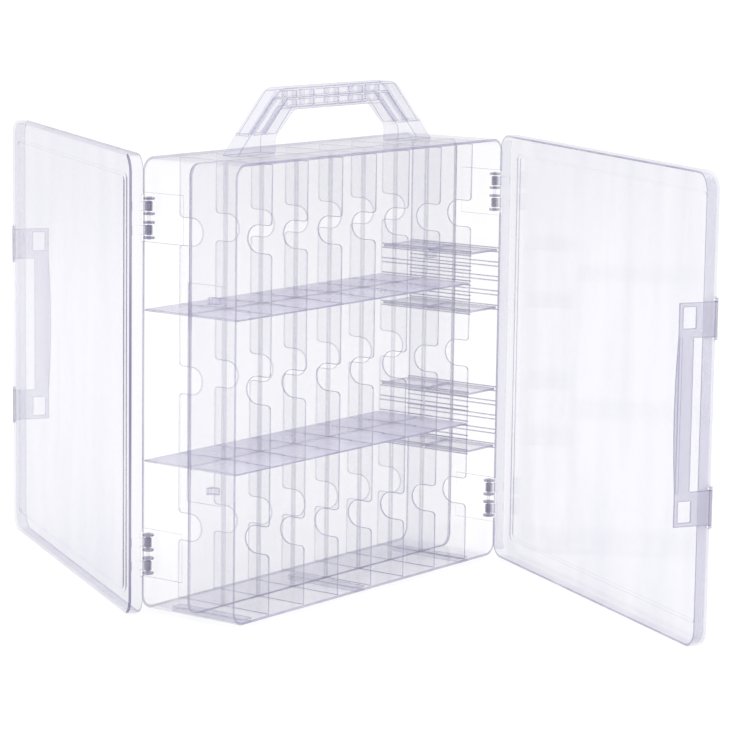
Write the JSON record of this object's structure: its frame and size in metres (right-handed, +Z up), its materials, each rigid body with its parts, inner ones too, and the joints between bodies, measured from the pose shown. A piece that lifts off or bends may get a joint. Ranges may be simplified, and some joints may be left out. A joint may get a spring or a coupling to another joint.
{
  "type": "double-sided sewing organiser case",
  "caption": "Clear upright sewing box with rows of open compartments front and back, two hinged lids that latch, loose divider plates and a carrying handle.",
  "frame": {"origin": "middle of the underside, on the surface that the case stands on", "axes": "+X to the right along the case's width, +Y to the back, +Z up to the handle; the front bays face -Y"},
  "size_m": [0.3559, 0.6561, 0.3802],
  "materials": {
    "clear_case": "clear polystyrene with a faint violet tint, gloss moulded",
    "clear_plate": "clear polystyrene, gloss moulded",
    "clear_lid": "clear polystyrene, gloss moulded",
    "clear_fitting": "clear polystyrene in thicker section, so darker, gloss moulded"
  },
  "bodies": {
    "case": {"case_wall": "clear_case", "partition": "clear_case", "carrying_handle": "clear_fitting", "front_divider_1": "clear_plate", "front_divider_2": "clear_plate", "front_divider_3": "clear_plate", "front_divider_4": "clear_plate", "front_divider_5": "clear_plate", "front_divider_6": "clear_plate", "front_divider_7": "clear_plate", "front_shelf_lower": "clear_plate", "front_shelf_upper": "clear_plate", "front_lid_pin_lower": "clear_fitting", "front_lid_pin_upper": "clear_fitting", "back_divider_1": "clear_plate", "back_divider_2": "clear_plate", "back_divider_3": "clear_plate", "back_divider_4": "clear_plate", "back_divider_5": "clear_plate", "back_divider_6": "clear_plate", "back_divider_7": "clear_plate", "back_shelf_lower": "clear_plate", "back_shelf_upper": "clear_plate", "back_lid_pin_lower": "clear_fitting", "back_lid_pin_upper": "clear_fitting", "front_small_plate_1": "clear_plate", "front_small_plate_2": "clear_plate", "front_small_plate_3": "clear_plate", "front_small_plate_4": "clear_plate"},
    "front_lid": {"front_lid": "clear_lid", "front_latch_pin_lower": "clear_fitting", "front_latch_pin_upper": "clear_fitting"},
    "front_latch": {"front_latch": "clear_fitting"},
    "back_lid": {"back_lid": "clear_lid", "back_latch_pin_lower": "clear_fitting", "back_latch_pin_upper": "clear_fitting"},
    "back_latch": {"back_latch": "clear_fitting"},
    "back_small_plate_1": {"back_small_plate_1": "clear_plate"},
    "back_small_plate_2": {"back_small_plate_2": "clear_plate"},
    "back_small_plate_3": {"back_small_plate_3": "clear_plate"},
    "back_small_plate_4": {"back_small_plate_4": "clear_plate"}
  },
  "joints": [
    {"name": "front_lid_hinge", "type": "hinge", "parent": "case", "child": "front_lid", "pos_m": [0.1664, -0.034, 0.1682], "axis": [0, 0, 1], "range_deg": [-60, 120]},
    {"name": "back_lid_hinge", "type": "hinge", "parent": "case", "child": "back_lid", "pos_m": [-0.1664, 0.034, 0.1682], "axis": [0, 0, 1], "range_deg": [-58, 122]},
    {"name": "front_latch_hinge", "type": "hinge", "parent": "front_lid", "child": "front_latch", "pos_m": [0.01007, -0.32918, 0.1682], "axis": [0, 0, 1], "range_deg": [0, 90]},
    {"name": "back_latch_hinge", "type": "hinge", "parent": "back_lid", "child": "back_latch", "pos_m": [0.00014, 0.32354, 0.1682], "axis": [0, 0, 1], "range_deg": [0, 90]},
    {"name": "back_small_plate_1_slide", "type": "slide", "parent": "case", "child": "back_small_plate_1", "axis": [0, 1, 0], "range_m": [0, 0.04]},
    {"name": "back_small_plate_2_slide", "type": "slide", "parent": "case", "child": "back_small_plate_2", "axis": [0, 1, 0], "range_m": [0, 0.04]},
    {"name": "back_small_plate_3_slide", "type": "slide", "parent": "case", "child": "back_small_plate_3", "axis": [0, 1, 0], "range_m": [0, 0.04]},
    {"name": "back_small_plate_4_slide", "type": "slide", "parent": "case", "child": "back_small_plate_4", "axis": [0, 1, 0], "range_m": [0, 0.04]}
  ]
}
